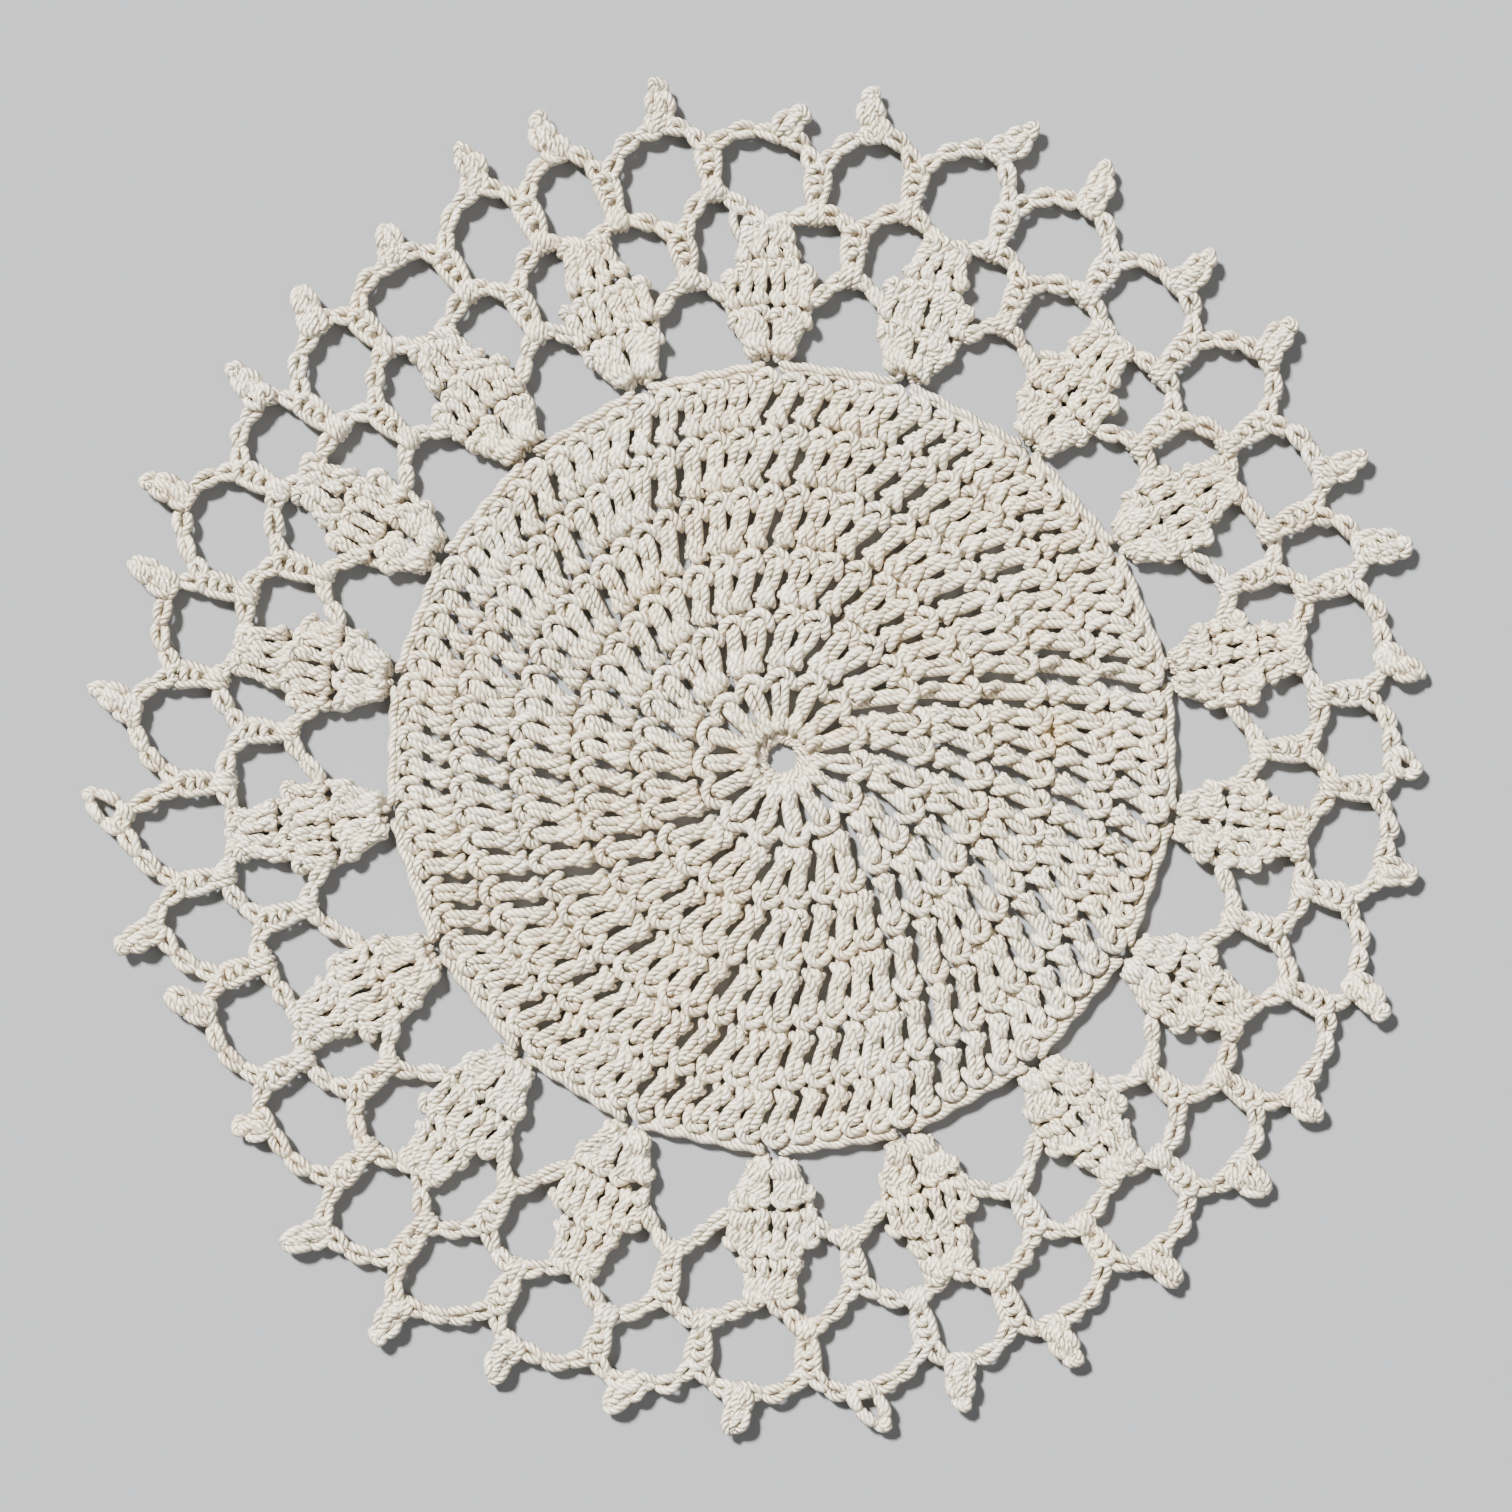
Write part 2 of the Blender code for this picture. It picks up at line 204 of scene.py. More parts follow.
# %% Setting a stitch down
HAND_SHAKE = 0.06
LIFT_SHAKE = 0.06
UNDERSIDE = 0.47
THICKNESS_SHAKE = 0.03


def polar(degrees, radius):
    """A point of the plane, in millimetres, from its angle and its distance from the ring."""
    turn = np.radians(degrees)
    return RING_CENTRE + np.array([np.cos(turn), np.sin(turn)]) * radius


def set_down(strands, stitch, base, top, base_width, top_width, shake=HAND_SHAKE, fullness=1.0):
    """Lays a stitch's strands from its base to its top."""
    reach = top - base
    out = reach / np.linalg.norm(reach)
    side = np.array([out[1], -out[0]])
    lift = chance.normal(0, LIFT_SHAKE)
    for thickness, points in stitch:
        u, v, w = np.array(points, float).T
        wide = u * (base_width + (top_width - base_width) * v)
        flat = base + v[:, None] * reach + wide[:, None] * side
        line = np.column_stack([flat, w + lift]) + chance.normal(0, shake, (len(u), 3))
        line[:, 2] = np.maximum(line[:, 2], UNDERSIDE)
        lay(strands, line, thickness * fullness * chance.normal(1, THICKNESS_SHAKE))


# %% [markdown]
# The disc is made of tall stitches. Seen from above, each one is a post of wrapped thread whose
# loop closes over the top of the next one, and which grows out of the loop below it. The slits
# between the posts and the small gaps under the loops are what gives the disc its look.

# %% The tall stitch
TALL_STITCH = [
    (1.1, [(-0.1, -0.08, 0.55), (-0.14, 0.3, 0.62), (-0.14, 0.6, 0.62), (-0.1, 0.92, 0.58)]),
    (1.1, [(0.1, -0.08, 0.55), (0.13, 0.3, 0.62), (0.13, 0.6, 0.62), (0.1, 0.92, 0.58)]),
    (1.12, [
        (-0.38, 0.74, 0.75), (-0.36, 0.87, 1.3), (-0.17, 0.97, 1.55), (0.06, 0.99, 1.6),
        (0.29, 0.92, 1.6), (0.42, 0.82, 1.45), (0.5, 0.71, 0.95),
    ]),
    (1.05, [
        (-0.02, 0.9, 1.1), (0.12, 0.8, 1.5), (0.16, 0.6, 1.5), (0.15, 0.42, 1.25), (0.1, 0.32, 0.9),
    ]),
    (1.05, [(0.02, 0.84, 1.05), (-0.1, 0.77, 1.45), (-0.17, 0.62, 1.5), (-0.16, 0.46, 1.25)]),
    (1.1, [
        (-0.18, 0.5, 0.85), (-0.14, 0.44, 1.45), (0.0, 0.34, 1.7), (0.17, 0.24, 1.7),
        (0.36, 0.17, 1.35), (0.5, 0.13, 0.8),
    ]),
    (1.1, [
        (-0.16, 0.42, 0.9), (-0.24, 0.3, 1.4), (-0.19, 0.18, 1.6), (0.0, 0.13, 1.6), (0.19, 0.16, 1.2),
    ]),
    (1.0, [(-0.26, 0.28, 0.8), (-0.37, 0.2, 1.2), (-0.48, 0.14, 0.7)]),
]
START_COLUMN = TALL_STITCH[:4] + TALL_STITCH[6:7]

# %% [markdown]
# Each round has fifteen stitches more than the one before, so some loops carry two stitches. The
# posts lean a little, because a loop always sits to one side of its post. The last round has five
# stitches for each fan, so the rounds are turned to meet the fans where they really stand. A round
# starts with a thin column of chain instead of a stitch, which leaves a line of larger holes.

# %% The rounds of the disc
LEAN = 1.3
PAIR_SPREAD = 0.36
RING_WRAP = 0.55
ROUND_START = 8 / 18
LEAST_BASE = 1.1
INNER_ROUNDS = range(0, 4)
OUTER_ROUNDS = range(4, 6)


def fan_turn(share):
    """The angle at a share of the way round, counted in fans and clockwise from the first one."""
    angles = [repeat.fan for repeat in REPEATS] + [REPEATS[0].fan - 360]
    return np.interp((share % 1) * len(REPEATS), range(len(angles)), np.unwrap(angles, period=360))


def straighten(share, gap):
    """How far in a straight edge lies, at a share of the way between two fans."""
    half = math.radians(gap) / 2
    return math.cos(half) / np.cos((2 * np.asarray(share) - 1) * half)


def disc_round(number):
    """The base and the top of every stitch in a round."""
    count = STITCHES_ADDED * (number + 1)
    top = ROUND_TOPS[number]
    below = ROUND_TOPS[number - 1] if number else RING_HOLE + RING_WRAP
    drift = [math.degrees(LEAN / radius) for radius in ROUND_TOPS[number:][::-1]]
    turned = sum(drift) - drift[-1]
    stitches = []
    for stitch in range(count):
        top_angle = fan_turn(stitch / count) + turned
        if number == 0:
            base_angle = top_angle
        else:
            count_below = count - STITCHES_ADDED
            on = stitch * count_below // count
            shared = [k for k in range(count) if k * count_below // count == on]
            base_angle = fan_turn(on / count_below) + turned + drift[-1]
            offset = (stitch - sum(shared) / len(shared)) * 2 * PAIR_SPREAD
            base_angle -= math.degrees(offset * 2 * math.pi / count)
        pulled = 1.0
        if number == len(ROUND_TOPS) - 1:
            pulled = float(straighten(stitch / count * len(REPEATS) % 1, 360 / len(REPEATS)))
        stitches.append((polar(base_angle, below), polar(top_angle, top * pulled)))
    return stitches, 2 * math.pi * below / count, 2 * math.pi * top / count


def disc_strands(numbers):
    """The strands of these rounds, with a start column in place of one stitch of each."""
    strands = []
    for number in numbers:
        stitches, base_width, top_width = disc_round(number)
        first = round(ROUND_START * len(stitches))
        for place, (base, top) in enumerate(stitches):
            stitch = START_COLUMN if place == first else TALL_STITCH
            set_down(strands, stitch, base, top, max(base_width, LEAST_BASE), top_width)
    return strands


inner_disc = thread_piece("inner_rounds", disc_strands(INNER_ROUNDS))
outer_disc = thread_piece("outer_rounds", disc_strands(OUTER_ROUNDS))

# %% [markdown]
# Between the fans a chain runs along the edge of the disc. It pulls the edge straight from one fan
# to the next, and only its outer strands show.

# %% The edge of the disc
EDGE_WAVE = 0.12
EDGE_POINTS = 17
EDGE_SPAN = (0.05, 0.95)
EDGE_STRANDS = ((0.05, 1.15), (0.5, 0.8))


def edge_strands():
    """Two strands from each fan to the next, at their own depths and heights."""
    strands = []
    for number, repeat in enumerate(REPEATS):
        following = REPEATS[(number + 1) % len(REPEATS)].fan
        gap = (repeat.fan - following) % 360
        shares = np.linspace(*EDGE_SPAN, EDGE_POINTS)
        straight = straighten(shares, gap)
        wave = EDGE_WAVE * np.cos(np.arange(EDGE_POINTS) * math.pi / 2)
        for depth, height in EDGE_STRANDS:
            radii = (DISC_EDGE - THREAD / 2 - depth) * straight + wave
            line = [[*polar(repeat.fan - gap * s, r), height] for s, r in zip(shares, radii)]
            lay(strands, line)
    return strands


disc_edge = thread_piece("disc_edge", edge_strands())

# %% [markdown]
# A fan is three rows of crowded stitches: two groups of three from one foot with an eye between
# them, six on them, and four drawn together at the top. They are the disc's stitches with one core
# in place of two legs, set so close that they bunch, and single strands run up its flanks. Places
# are measured across and up a fan. One fan has a strand that came loose at its top.

# %% The fans
FAN_STITCH = [(1.2, [(0, -0.05, 0.62), (0, 0.45, 0.75), (0, 0.92, 0.65)])] + TALL_STITCH[2:]
FAN_ROWS = [
    ([-1.3, -0.9, -0.45, 0.45, 0.8, 1.2], 39.7, [-3.6, -2.45, -1.2, 1.1, 2.3, 3.4], 45.2),
    ([-3.8, -2.4, -0.9, 0.8, 2.2, 3.5], 44.8, [-3.9, -2.4, -0.9, 0.7, 2.2, 3.6], 50.1),
    ([-2.9, -1.1, 0.8, 2.6], 49.6, [-1.6, -0.7, 0.3, 1.2], 54.8),
]
FAN_UNEVEN = 0.28
FAN_CROWN = 1.0
FLANKS = [
    [(-1.7, 40.3), (-2.8, 42.2), (-3.7, 44.2), (-4.3, 46.2)],
    [(1.7, 40.3), (2.6, 42.2), (3.5, 44.2), (4.1, 46.0)],
]
FLANK_HEIGHT = 0.9
LOOSE_STRAND = [
    (-3.3, 50.6, 1.2), (-4.3, 52.0, 1.5), (-4.9, 53.4, 1.5), (-4.7, 54.8, 1.3), (-3.9, 55.4, 1.0),
]
FAN_TOP = 54.6
CROWDED_BASE, CROWDED_TOP = 1.35, 1.85
FAN_SHAKE = 0.1
FAN_FULLNESS = 0.98


def fan_point(repeat, side, radius):
    """A point of a fan: side is the distance from its middle line, to the right as it points out."""
    if radius > DISC_EDGE:
        radius = DISC_EDGE + (radius - DISC_EDGE) * (repeat.top - DISC_EDGE) / (FAN_TOP - DISC_EDGE)
    return polar(repeat.fan - math.degrees(side / radius), radius)


def fan_strands(rows, flanks):
    """These rows of all the fans, with single strands up their flanks."""
    strands = []
    for repeat in REPEATS:
        for base_sides, base_radius, top_sides, top_radius in rows:
            for base_side, top_side in zip(base_sides, top_sides):
                drop = FAN_CROWN * (top_side / 4) ** 2
                lower, upper = chance.normal(0, FAN_UNEVEN, 2)
                base = fan_point(repeat, base_side, base_radius + abs(lower))
                top = fan_point(repeat, top_side, top_radius - drop + upper)
                set_down(
                    strands, FAN_STITCH, base, top, CROWDED_BASE, CROWDED_TOP, FAN_SHAKE, FAN_FULLNESS
                )
        for flank in flanks:
            lay(strands, [[*fan_point(repeat, *place), FLANK_HEIGHT] for place in flank])
    return strands


fan_feet = thread_piece("fan_feet", fan_strands(FAN_ROWS[:1], FLANKS))
head_strands = fan_strands(FAN_ROWS[1:], [])
lay(head_strands, np.array(LOOSE_STRAND) + [*RING_CENTRE, 0])
fan_heads = thread_piece("fan_heads", head_strands)

# %% [markdown]
# A chain is a row of teardrop loops, each one drawn through the one before. From above it shows two
# strands for each link, and a third one runs along its back.

# %% A chain
LINK = 2.6
CHAIN_STEP = 0.2
LINK_UNEVEN = 0.07
LINK_LIFT = 0.06
LINK_SHAKE = 0.05
CHAIN_LINK = [
    (-0.1, 0.08, 0.8), (0.12, 0.26, 1.25), (0.42, 0.52, 1.45), (0.7, 0.53, 1.35), (0.92, 0.36, 1.0),
    (1.08, 0.12, 0.55),
]
CHAIN_BACK = [(0.0, 0.05, 0.5), (0.5, -0.1, 0.45), (1.0, 0.05, 0.5)]


def on_line(line, share_points, link_length, start):
    """Points of a link, placed along the line."""
    steps = np.linalg.norm(np.diff(line, axis=0), axis=1)
    length = np.append(0, np.cumsum(steps))
    s, n, w = np.array(share_points, float).T
    place = np.clip(start + s * link_length, 0, length[-1])
    x = np.interp(place, length, line[:, 0])
    y = np.interp(place, length, line[:, 1])
    on, back = place + CHAIN_STEP, place - CHAIN_STEP
    ahead_x = np.interp(on, length, line[:, 0]) - np.interp(back, length, line[:, 0])
    ahead_y = np.interp(on, length, line[:, 1]) - np.interp(back, length, line[:, 1])
    size = np.hypot(ahead_x, ahead_y)
    return np.column_stack([x - n * ahead_y / size, y + n * ahead_x / size, w])


def chain(strands, points, lift=0.0, spread=1.0, link_length=LINK):
    """A chain along a line of points."""
    line = smooth_line(points, CHAIN_STEP)
    length = np.linalg.norm(np.diff(line, axis=0), axis=1).sum()
    links = max(1, round(length / link_length))
    for link in range(links):
        wide = spread * chance.normal(1, LINK_UNEVEN)
        raised = lift + chance.normal(0, LINK_LIFT)
        for hand in (1, -1):
            shape = [(s, n * hand * wide, w + raised) for s, n, w in CHAIN_LINK]
            laid = on_line(line, shape, length / links, link * length / links)
            lay(strands, laid + chance.normal(0, LINK_SHAKE, laid.shape))
        back = [(s, n, w + lift) for s, n, w in CHAIN_BACK]
        lay(strands, on_line(line, back, length / links, link * length / links))


# %% [markdown]
# The first round of arches ties each fan to its neighbours. The second round stands on it on
# posts, and carries a picot on every arch.

# %% The arches
ARCH_SHOULDER = (0.52, 0.7)
ARCH_CROWN = (0.5, 0.1)
OUTER_RISES = ((0.45, 1.2), (0.55, 1.0))
FAN_SIDES = (45.6, 46.4)
LEG_BEND = (0.55, 0.5)
LEG_SPREAD = 0.8
TOP_SINK = 0.8


def unturned(degrees, near):
    """The same angle, counted so that it lies within half a turn of another."""
    return degrees + 360 * round((near - degrees) / 360)


def between(start, end, share, rise):
    """A place part of the way from one to the other, and a little further out."""
    end_angle = unturned(end[0], start[0])
    return start[0] + (end_angle - start[0]) * share, start[1] + (end[1] - start[1]) * share + rise


def join_foot(repeat):
    """Where the post between two fans stands."""
    return polar(repeat.join, repeat.join_r - POST_LENGTH)


def inner_arch_strands():
    """The arches over each fan, and the two legs that meet between it and the next."""
    strands = []
    for number, repeat in enumerate(REPEATS):
        previous = REPEATS[number - 1]
        following = REPEATS[(number + 1) % len(REPEATS)]
        top = (repeat.fan, repeat.top - TOP_SINK)
        ends = [
            ((previous.join, previous.join_r), (repeat.before, repeat.before_r)),
            ((repeat.join, repeat.join_r), (repeat.after, repeat.after_r)),
        ]
        for join, peak in ends:
            shoulder = between(peak, join, *ARCH_SHOULDER)
            crown = between(peak, top, *ARCH_CROWN)
            chain(strands, [polar(*place) for place in (top, crown, peak, shoulder, join)])
        meet = join_foot(repeat)
        near = fan_point(repeat, FAN_SHOULDER, FAN_SIDES[0])
        far = fan_point(following, -FAN_SHOULDER, FAN_SIDES[1])
        for shoulder in (near, far):
            middle = shoulder + (meet - shoulder) * LEG_BEND[0]
            outward = (middle - RING_CENTRE) / np.linalg.norm(middle - RING_CENTRE)
            chain(strands, [shoulder, middle + outward * LEG_BEND[1], meet], spread=LEG_SPREAD)
    return strands


PICOT_LENGTH = 5.2
PICOT_LEAST_RISE = 2.2
OUTER_RISE = 2.2


def picot_foot(start, end, angle, tip_angle, tip_radius):
    """How far out a picot starts, which is also the top of its arch."""
    lean = math.radians(tip_angle - angle) * tip_radius
    rise = math.sqrt(max(PICOT_LENGTH**2 - lean**2, PICOT_LEAST_RISE**2))
    return max((start[1] + end[1]) / 2 + OUTER_RISE, tip_radius - rise)


def outer_arches():
    """For each outer arch: its two ends, and the angle of its picot with the picot's tip."""
    arches = []
    for number, repeat in enumerate(REPEATS):
        following = REPEATS[(number + 1) % len(REPEATS)]
        heads = [
            (repeat.before, repeat.before_r + POST_LENGTH),
            (repeat.after, repeat.after_r + POST_LENGTH),
            (following.before, following.before_r + POST_LENGTH),
        ]
        arches.append((heads[0], heads[1], repeat.picot, repeat.picot_tip, repeat.picot_r))
        arches.append(
            (heads[1], heads[2], repeat.join_picot, repeat.join_picot_tip, repeat.join_picot_r)
        )
    return arches


def outer_arch_strands():
    """The arches of the outer round, from post to post."""
    strands = []
    for start, end, angle, tip_angle, tip_radius in outer_arches():
        foot = (angle, picot_foot(start, end, angle, tip_angle, tip_radius))
        stops = [
            start,
            between(start, foot, *OUTER_RISES[0]),
            foot,
            between(foot, end, *OUTER_RISES[1]),
            (unturned(end[0], start[0]), end[1]),
        ]
        chain(strands, [polar(*place) for place in stops])
    return strands


inner_arches = thread_piece("inner_arches", inner_arch_strands())
outer_arches_piece = thread_piece("outer_arches", outer_arch_strands())

# %% [markdown]
# A post is a tall stitch on its own: two strands down its sides, some wraps between them, and a
# foot whose strands go round the arch that it stands on.

# %% The posts
POST = [
    (1.0, [(0, -0.15, 0.6), (0, 0.4, 0.7), (0, 1.0, 0.6)]),
    (1.0, [
        (-0.3, 1.12, 0.8), (-0.44, 0.9, 1.3), (-0.42, 0.6, 1.4), (-0.3, 0.3, 1.3), (-0.1, 0.1, 0.8),
    ]),
    (1.0, [(0.3, 1.12, 0.8), (0.44, 0.9, 1.3), (0.42, 0.6, 1.4), (0.3, 0.3, 1.3), (0.1, 0.1, 0.8)]),
    (1.0, [(-0.34, 0.72, 0.8), (-0.2, 0.8, 1.55), (0.12, 0.82, 1.65), (0.34, 0.7, 0.9)]),
    (1.0, [(-0.3, 0.42, 0.8), (-0.12, 0.55, 1.6), (0.16, 0.58, 1.6), (0.34, 0.48, 0.8)]),
    (1.0, [(-0.24, 0.3, 0.9), (-0.28, 0.12, 1.6), (-0.28, -0.1, 1.6), (-0.24, -0.26, 0.6)]),
    (1.0, [(0.04, 0.36, 0.9), (0.02, 0.14, 1.7), (0.02, -0.1, 1.7), (0.0, -0.28, 0.6)]),
    (1.0, [(0.3, 0.3, 0.9), (0.3, 0.12, 1.6), (0.3, -0.1, 1.6), (0.26, -0.26, 0.6)]),
    (1.0, [
        (-0.5, 0.84, 0.7), (-0.36, 1.02, 1.4), (0.0, 1.12, 1.75), (0.36, 1.02, 1.4), (0.5, 0.84, 0.7),
    ]),
]
POST_WIDTH = 2.2


def post_strands():
    """The posts between the fans, and those that carry the outer arches."""
    strands = []
    for repeat in REPEATS:
        set_down(
            strands, POST, join_foot(repeat), polar(repeat.join, repeat.join_r), POST_WIDTH, POST_WIDTH
        )
        for angle, radius in ((repeat.before, repeat.before_r), (repeat.after, repeat.after_r)):
            head = polar(angle, radius + POST_LENGTH)
            set_down(strands, POST, polar(angle, radius), head, POST_WIDTH, POST_WIDTH)
    return strands


posts = thread_piece("posts", post_strands())

# %% [markdown]
# A picot is a short chain drawn back on itself, so it bunches into a leaf with a blunt point, which
# leans and bends to one side. Two strands cross over its middle and close it. Two picots bunched
# into a round lump, and a few were left loose and stand open as a small loop.

# %% The picots
PICOT_HALF = 0.68
PICOT_LINK = 2.3
PICOT_SIDE = [(-0.12, -0.6), (0.18, -1.1), (0.52, -1.05), (0.84, -0.5)]
PICOT_SPREAD = 0.8
LOOSE_SPREAD = 0.4
PICOT_LIFT = 0.12
TIP_BULGE = 0.35
CROSSING_THICKNESS = 1.05
LOOSE_PICOTS = {25: 1.0, 34: 1.05, 17: 0.85}
ROUND_PICOTS = {15: 1.0, 21: 0.95}
PICOT_BEND = 0.3
PICOT_CROSSING = [
    [(-0.02, 0.7, 0.9), (0.26, 0.45, 1.65), (0.55, 0.05, 1.8), (0.84, -0.15, 1.35)],
    [(-0.04, -0.75, 0.9), (0.18, -0.3, 1.7), (0.42, 0.25, 1.75), (0.68, 0.6, 1.2)],
]


def picot_strands():
    """Each picot as a chain up one side and down the other, from its foot to its tip."""
    strands = []
    for number, (start, end, angle, tip_angle, tip_radius) in enumerate(outer_arches()):
        foot = polar(angle, picot_foot(start, end, angle, tip_angle, tip_radius))
        tip = polar(tip_angle, tip_radius)
        out = (tip - foot) / np.linalg.norm(tip - foot)
        side = np.array([out[1], -out[0]])
        loose = number in LOOSE_PICOTS
        half = {**LOOSE_PICOTS, **ROUND_PICOTS}.get(number, PICOT_HALF)
        spread = LOOSE_SPREAD if loose else PICOT_SPREAD
        reach = tip - foot - out * (THREAD / 2 + TIP_BULGE * spread)
        bend = 0.0 if loose else chance.normal(0, PICOT_BEND)

        def place(v, u):
            return foot + reach * v + side * (half * u + bend * math.sin(math.pi * max(v, 0)))

        hairpin = PICOT_SIDE + [(1.0, 0.0)] + [(v, -u) for v, u in PICOT_SIDE[::-1]]
        points = [place(v, u) for v, u in hairpin]
        lift = PICOT_LIFT + abs(chance.normal(0, PICOT_LIFT))
        chain(strands, points, lift, spread, PICOT_LINK)
        if not loose:
            for crossing in PICOT_CROSSING:
                line = [[*place(v, u), w] for v, u, w in crossing]
                lay(strands, line, CROSSING_THICKNESS)
    return strands


picots = thread_piece("picots", picot_strands())

# %% [markdown]
# The thread is mercerised cotton: three plies twisted together, ivory, with a silky gloss. The
# plies are a pattern wound round each strand from its own attributes. They set the bump, and the
# grooves between them are painted a darker, warmer colour, which is painted shade. Fine streaks
# run along each ply, as its fibres do. They break up the gloss, which would otherwise look like
# glazed china.

# %% The cotton
LAY_LENGTH = 1.9
PLIES = 3
PLY_DEPTH = 0.19
FIBRES_ROUND = 1.5
FIBRE_STRETCH = 0.45
FIBRE_DEPTH = 0.32
IVORY = (0.87, 0.78, 0.60, 1.0)
# painted shade: the darker, warmer colour put in the grooves between the plies
GROOVE_SHADE = (0.50, 0.39, 0.26, 1.0)
WARM_IVORY = (0.81, 0.68, 0.49, 1.0)
COOL_IVORY = (0.86, 0.80, 0.67, 1.0)
STAIN = (1.0, 0.83, 0.48, 1.0)
STAIN_PLACE = (0.0301, 0.0024, 0.0015)
STAIN_SIZE = 2.6
STAIN_STRENGTH = 0.65
TIGHTNESS_SCALE = 700.0
WEAR_SCALE = 90.0
PATCH_SCALE = 500.0
STRAND_SHADES = (0.93, 1.03)
SILKY, DULL = 0.26, 0.48


class Wiring:
    """Adds nodes to a material and joins them up."""

    def __init__(self, name):
        self.material = bpy.data.materials.new(name)
        self.material.use_nodes = True
        self.tree = self.material.node_tree
        self.shader = self.tree.nodes["Principled BSDF"]

    def node(self, kind, **settings):
        node = self.tree.nodes.new(kind)
        for key, value in settings.items():
            setattr(node, key, value)
        return node

    def join(self, source, target):
        if isinstance(source, (int, float, tuple)):
            target.default_value = source
        else:
            self.tree.links.new(source, target)

    def maths(self, kind, *values):
        node = self.node("ShaderNodeMath", operation=kind)
        for value, socket in zip(values, node.inputs):
            self.join(value, socket)
        return node.outputs[0]

    def read(self, name):
        return self.node("ShaderNodeAttribute", attribute_name=name)

    def noise(self, place, scale, detail=2.0):
        node = self.node("ShaderNodeTexNoise")
        self.join(place, node.inputs["Vector"])
        node.inputs["Scale"].default_value = scale
        node.inputs["Detail"].default_value = detail
        return node.outputs["Fac"]

    def spread(self, value, low, high, to_low=0.0, to_high=1.0):
        node = self.node("ShaderNodeMapRange", interpolation_type="SMOOTHSTEP")
        for number, given in enumerate((value, low, high, to_low, to_high)):
            self.join(given, node.inputs[number])
        return node.outputs[0]

    def mix(self, share, first, second, blend="MIX"):
        node = self.node("ShaderNodeMix", data_type="RGBA", blend_type=blend)
        self.join(share, node.inputs[0])
        self.join(first, node.inputs[6])
        self.join(second, node.inputs[7])
        return node.outputs[2]


def cotton():
    """The thread's material, on its own attributes and on Object coordinates."""
    wires = Wiring("cotton_thread")
    place = wires.node("ShaderNodeTexCoord").outputs["Object"]
    side = wires.node("ShaderNodeSeparateXYZ")
    wires.join(wires.read("around").outputs["Vector"], side.inputs[0])
    angle = wires.maths("ARCTAN2", side.outputs[1], side.outputs[0])
    along = wires.read("along").outputs["Fac"]
    winding = wires.maths("MULTIPLY", along, -PLIES * math.pi / LAY_LENGTH)
    half_turn = wires.maths("MULTIPLY_ADD", angle, PLIES / 2, winding)
    ply = wires.maths("ABSOLUTE", wires.maths("COSINE", half_turn))
    turned = wires.maths("MULTIPLY", half_turn, 2.0)
    fibre_place = wires.node("ShaderNodeCombineXYZ")
    for kind, socket in zip(("COSINE", "SINE"), fibre_place.inputs):
        wires.join(wires.maths("MULTIPLY", wires.maths(kind, turned), FIBRES_ROUND), socket)
    wires.join(wires.maths("MULTIPLY", along, FIBRE_STRETCH), fibre_place.inputs[2])
    fibre = wires.noise(fibre_place.outputs[0], 1.0, 3.0)
    tightness = wires.spread(wires.noise(place, TIGHTNESS_SCALE), 0.35, 0.65, 0.5, 1.1)
    height = wires.maths("MULTIPLY_ADD", ply, tightness, wires.maths("MULTIPLY", fibre, FIBRE_DEPTH))
    bump = wires.node("ShaderNodeBump")
    bump.inputs["Distance"].default_value = PLY_DEPTH * MM
    wires.join(height, bump.inputs["Height"])
    wires.join(bump.outputs[0], wires.shader.inputs["Normal"])
    depth = wires.spread(ply, 0.1, 0.9)
    worn = wires.spread(wires.noise(place, WEAR_SCALE), 0.35, 0.65)
    upper = wires.mix(worn, WARM_IVORY, COOL_IVORY)
    patch = wires.spread(wires.noise(place, PATCH_SCALE), 0.3, 0.7)
    upper = wires.mix(patch, upper, IVORY)
    # painted shade: the grooves between the plies get the darker, warmer colour, more where the twist
    # is tight
    painted_groove_shade = wires.maths("MULTIPLY", wires.maths("SUBTRACT", 1.0, depth), tightness)
    colour = wires.mix(painted_groove_shade, upper, GROOVE_SHADE)
    shade = wires.spread(wires.read("shade").outputs["Fac"], -1.0, 1.0, *STRAND_SHADES)
    colour = wires.mix(1.0, colour, shade, "MULTIPLY")
    distance = wires.node("ShaderNodeVectorMath", operation="DISTANCE")
    wires.join(place, distance.inputs[0])
    wires.join(STAIN_PLACE, distance.inputs[1])
    reach = STAIN_SIZE * MM
    stained = wires.spread(distance.outputs["Value"], 0.0, reach, STAIN_STRENGTH, 0.0)
    wires.join(wires.mix(stained, colour, STAIN, "MULTIPLY"), wires.shader.inputs["Base Color"])
    wires.join(wires.spread(fibre, 0.3, 0.7, SILKY, DULL), wires.shader.inputs["Roughness"])
    wires.shader.inputs["Specular IOR Level"].default_value = 1.0
    return wires.material


pieces = [
    inner_disc, outer_disc, disc_edge, fan_feet, fan_heads, inner_arches, outer_arches_piece, posts,
    picots,
]
thread = cotton()
for piece in pieces:
    piece.data.materials.append(thread)
    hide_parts("doily")
    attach(piece, "root")
print("the cotton has", len(thread.node_tree.nodes), "nodes, on", len(pieces), "pieces")

# %% [markdown]
# The doily is one flat sheet of lace. Its area, which leaves out the gaps, is read from the upward
# faces of the solid. It isn't declared as a sheet, because that compares a mesh's surface with the
# cloth's area, and round strands laid over each other have about three times as much surface.

# %% What the lace measures
def corner_products(mesh):
    """Twice the area vector of each triangle."""
    mesh.calc_loop_triangles()
    points = np.empty(len(mesh.vertices) * 3, np.float32)
    mesh.vertices.foreach_get("co", points)
    corners = np.empty(len(mesh.loop_triangles) * 3, np.int32)
    mesh.loop_triangles.foreach_get("vertices", corners)
    a, b, c = points.reshape(-1, 3).astype(float)[corners].reshape(-1, 3, 3).transpose(1, 0, 2)
    return np.cross(b - a, c - a)


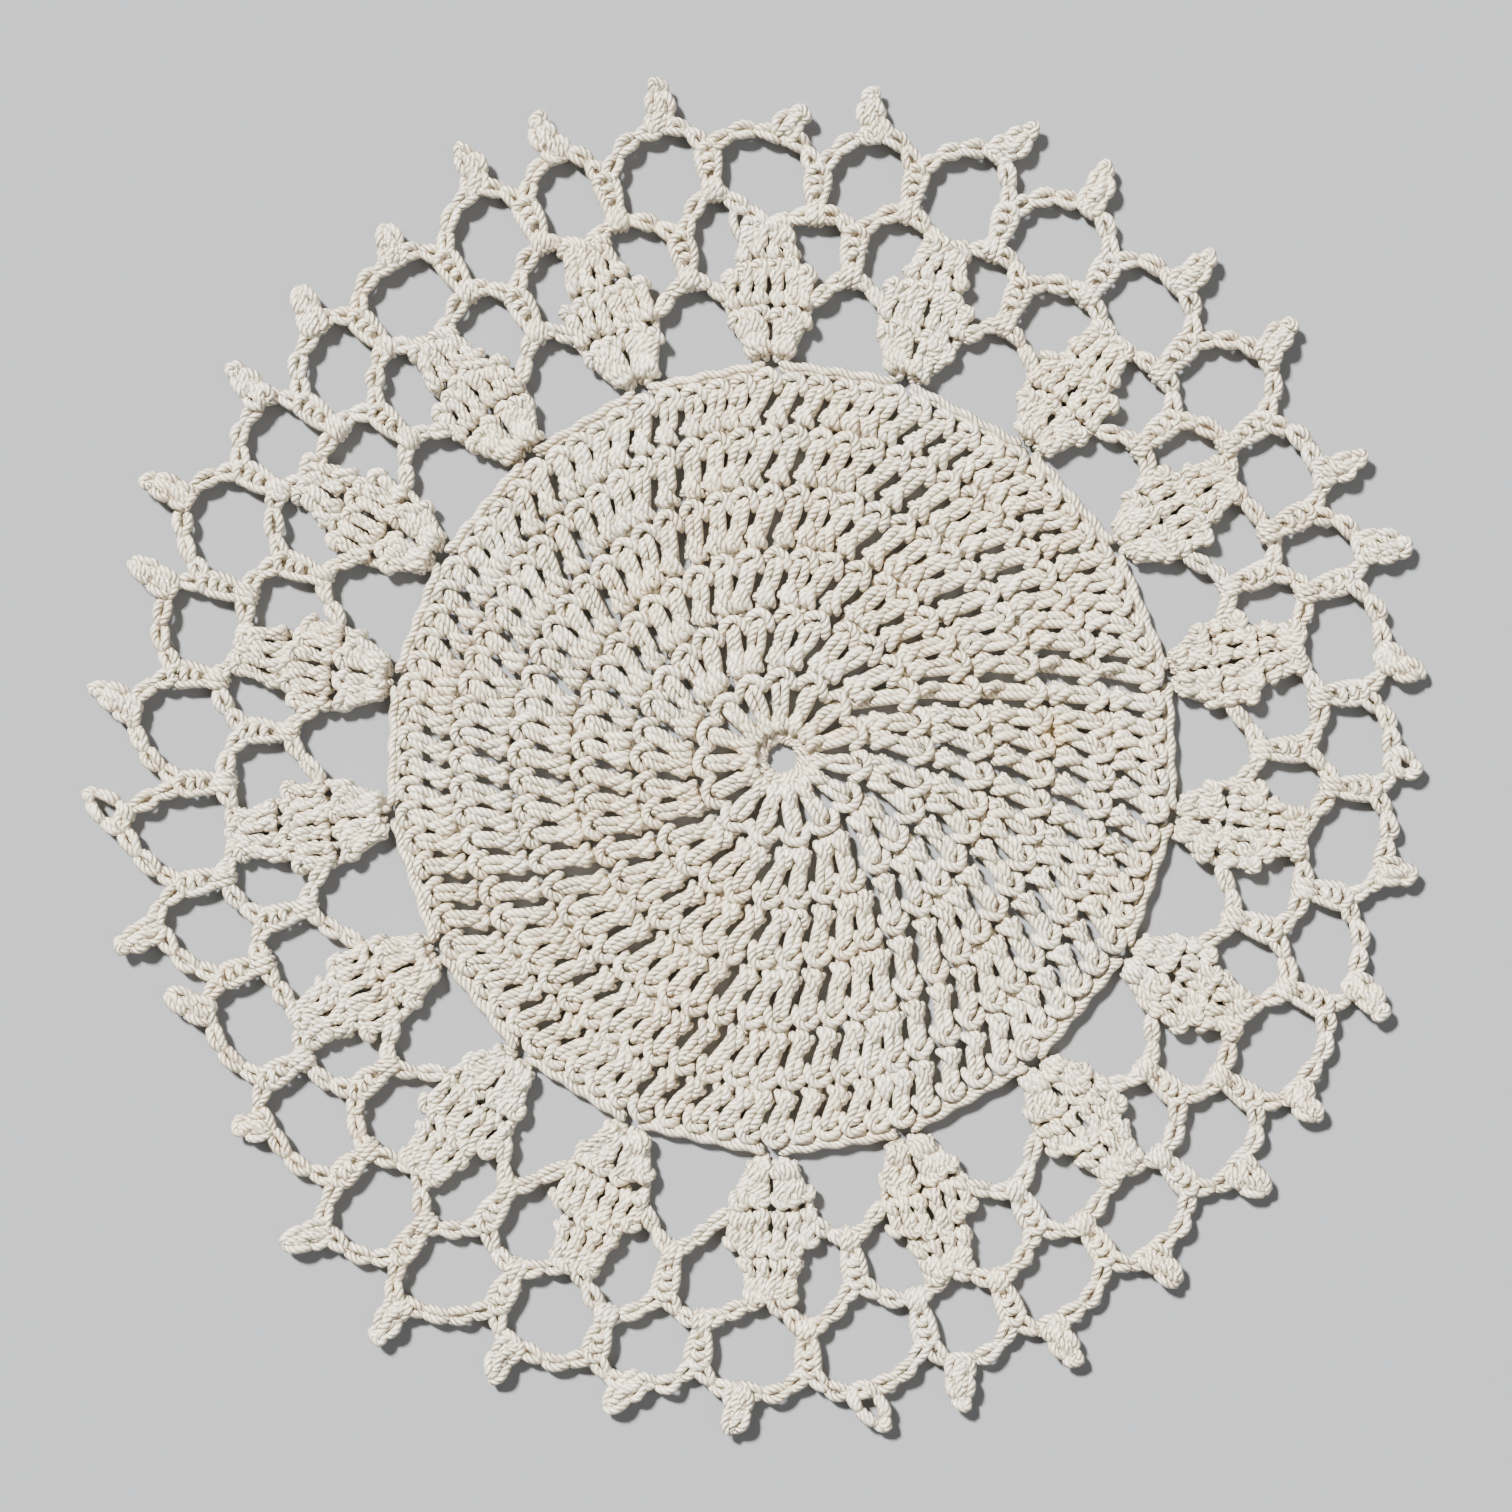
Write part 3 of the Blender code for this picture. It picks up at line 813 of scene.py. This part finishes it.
upward = corner_products(bpy.data.objects["doily"].data)[:, 2]
lace_area = upward[upward > 0].sum() / 2
thread_area = sum(np.linalg.norm(corner_products(piece.data), axis=1).sum() / 4 for piece in pieces)
print("the lace covers", round(lace_area, 5), "square metres")
print("half the thread's surface is", round(thread_area / lace_area, 2), "times that")

# %% [markdown]
# The doily lies on a plain pale floor. Two broad, soft lights stand far off, so that the floor is lit
# evenly. One is stronger and narrower, so that the twist of the thread shows.

# %% The floor
FLOOR_HALF = 2.0
FLOOR_DROP = 0.1 * MM
FLOOR_COLOUR = (0.27, 0.275, 0.285, 1.0)
FLOOR_ROUGHNESS = 0.9


def plain_material(name, colour, roughness):
    """One even colour, for the floor."""
    material = bpy.data.materials.new(name)
    material.use_nodes = True
    shader = material.node_tree.nodes["Principled BSDF"]
    shader.inputs["Base Color"].default_value = colour
    shader.inputs["Roughness"].default_value = roughness
    return material


floor_work = bmesh.new()
bmesh.ops.create_grid(floor_work, x_segments=1, y_segments=1, size=FLOOR_HALF)
floor_mesh = bpy.data.meshes.new("floor")
floor_work.to_mesh(floor_mesh)
floor_work.free()
floor = bpy.data.objects.new("floor", floor_mesh)
floor.location.z = -FLOOR_DROP
floor_mesh.materials.append(plain_material("floor", FLOOR_COLOUR, FLOOR_ROUGHNESS))
bpy.context.collection.objects.link(floor)
print("the floor is", 2 * FLOOR_HALF, "m wide")

# %% The lights and the camera
KEY_FROM = (-0.42, 0.5, 0.75)
KEY_STRENGTH = 13.5
KEY_ANGLE = 8.0
FILL_FROM = (0.7, -0.3, 0.8)
FILL_STRENGTH = 1.0
FILL_ANGLE = 50.0
ROOM_LIGHT = 0.16


def soft_light(name, place, strength, angle):
    """A broad, far light, so that the floor is lit evenly all the way out."""
    data = bpy.data.lights.new(name, "SUN")
    data.energy = strength
    data.angle = math.radians(angle)
    light = bpy.data.objects.new(name, data)
    light.location = place
    direction = -light.location
    light.rotation_euler = direction.to_track_quat("-Z", "Y").to_euler()
    bpy.context.collection.objects.link(light)
    return light


soft_light("key", KEY_FROM, KEY_STRENGTH, KEY_ANGLE)
soft_light("fill", FILL_FROM, FILL_STRENGTH, FILL_ANGLE)

world = bpy.data.worlds.new("studio")
world.use_nodes = True
world.node_tree.nodes["Background"].inputs[0].default_value = (1.0, 1.0, 1.0, 1.0)
world.node_tree.nodes["Background"].inputs[1].default_value = ROOM_LIGHT
bpy.context.scene.world = world

CAMERA_AXIS = (0.14 * MM, 0.2 * MM)
PICTURE_WIDTH = 0.1512
LENS = 0.100
SENSOR = 0.036
camera_data = bpy.data.cameras.new("camera")
camera_data.lens = LENS / MM
camera_data.sensor_width = SENSOR / MM
camera = bpy.data.objects.new("camera", camera_data)
camera.location = (*CAMERA_AXIS, PICTURE_WIDTH * LENS / SENSOR)
bpy.context.collection.objects.link(camera)
bpy.context.scene.camera = camera
print("the camera is", round(camera.location.z, 3), "m above the doily")
